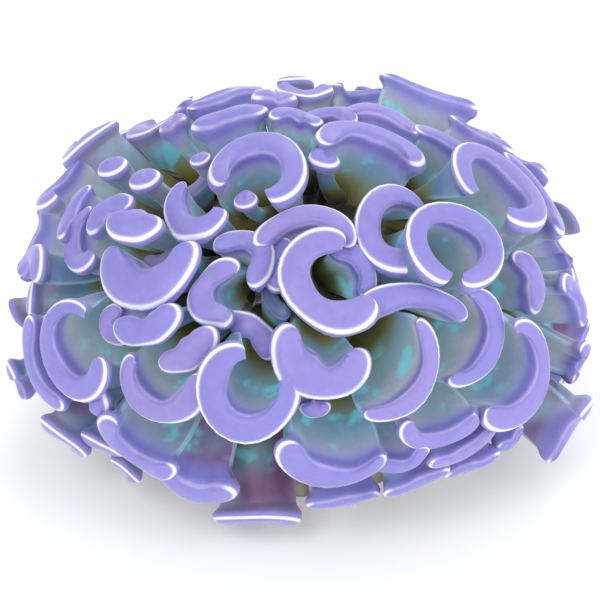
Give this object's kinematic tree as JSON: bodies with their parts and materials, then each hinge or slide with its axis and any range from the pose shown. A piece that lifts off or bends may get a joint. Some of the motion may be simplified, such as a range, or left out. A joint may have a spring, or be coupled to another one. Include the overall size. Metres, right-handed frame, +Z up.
{
  "type": "hammer coral colony",
  "caption": "Dome-shaped colony of hammer coral: fleshy tentacles with curled, hammer-shaped tips spread from a low stony skeleton that is cut off flat underneath.",
  "frame": {"origin": "middle of the flat cut under the skeleton, which the colony rests on", "axes": "+Z up, out of the cut; +X to the right and -Y towards someone who looks at the colony's front"},
  "size_m": [0.1175, 0.1014, 0.0716],
  "materials": {
    "flesh": "soft wet flesh: lavender heads with a pale edge, grey-lilac to teal and olive towards the root",
    "stone": "rough ridged coral stone, under brown-olive living tissue near the top"
  },
  "bodies": {
    "root": {"skeleton": "stone", "branch_01": "flesh", "branch_02": "flesh", "branch_03": "flesh", "branch_04": "flesh", "branch_05": "flesh", "branch_06": "flesh", "branch_07": "flesh", "branch_08": "flesh", "branch_09": "flesh", "branch_10": "flesh", "branch_11": "flesh", "branch_12": "flesh", "branch_13": "flesh", "branch_14": "flesh", "branch_15": "flesh", "branch_16": "flesh", "branch_17": "flesh", "branch_18": "flesh", "branch_19": "flesh", "branch_20": "flesh", "branch_21": "flesh", "branch_22": "flesh", "branch_23": "flesh", "branch_24": "flesh", "branch_25": "flesh", "branch_26": "flesh", "branch_27": "flesh", "branch_28": "flesh", "branch_29": "flesh", "branch_30": "flesh", "branch_31": "flesh", "branch_32": "flesh", "branch_33": "flesh", "branch_34": "flesh", "branch_35": "flesh", "branch_36": "flesh", "branch_37": "flesh", "branch_38": "flesh", "branch_39": "flesh", "branch_40": "flesh", "branch_41": "flesh", "branch_42": "flesh", "branch_43": "flesh", "branch_44": "flesh", "branch_45": "flesh", "branch_46": "flesh", "branch_47": "flesh", "branch_48": "flesh", "branch_49": "flesh", "branch_50": "flesh", "branch_51": "flesh", "branch_52": "flesh", "branch_53": "flesh", "branch_54": "flesh", "branch_55": "flesh", "branch_56": "flesh", "branch_57": "flesh", "branch_58": "flesh"}
  },
  "joints": []
}
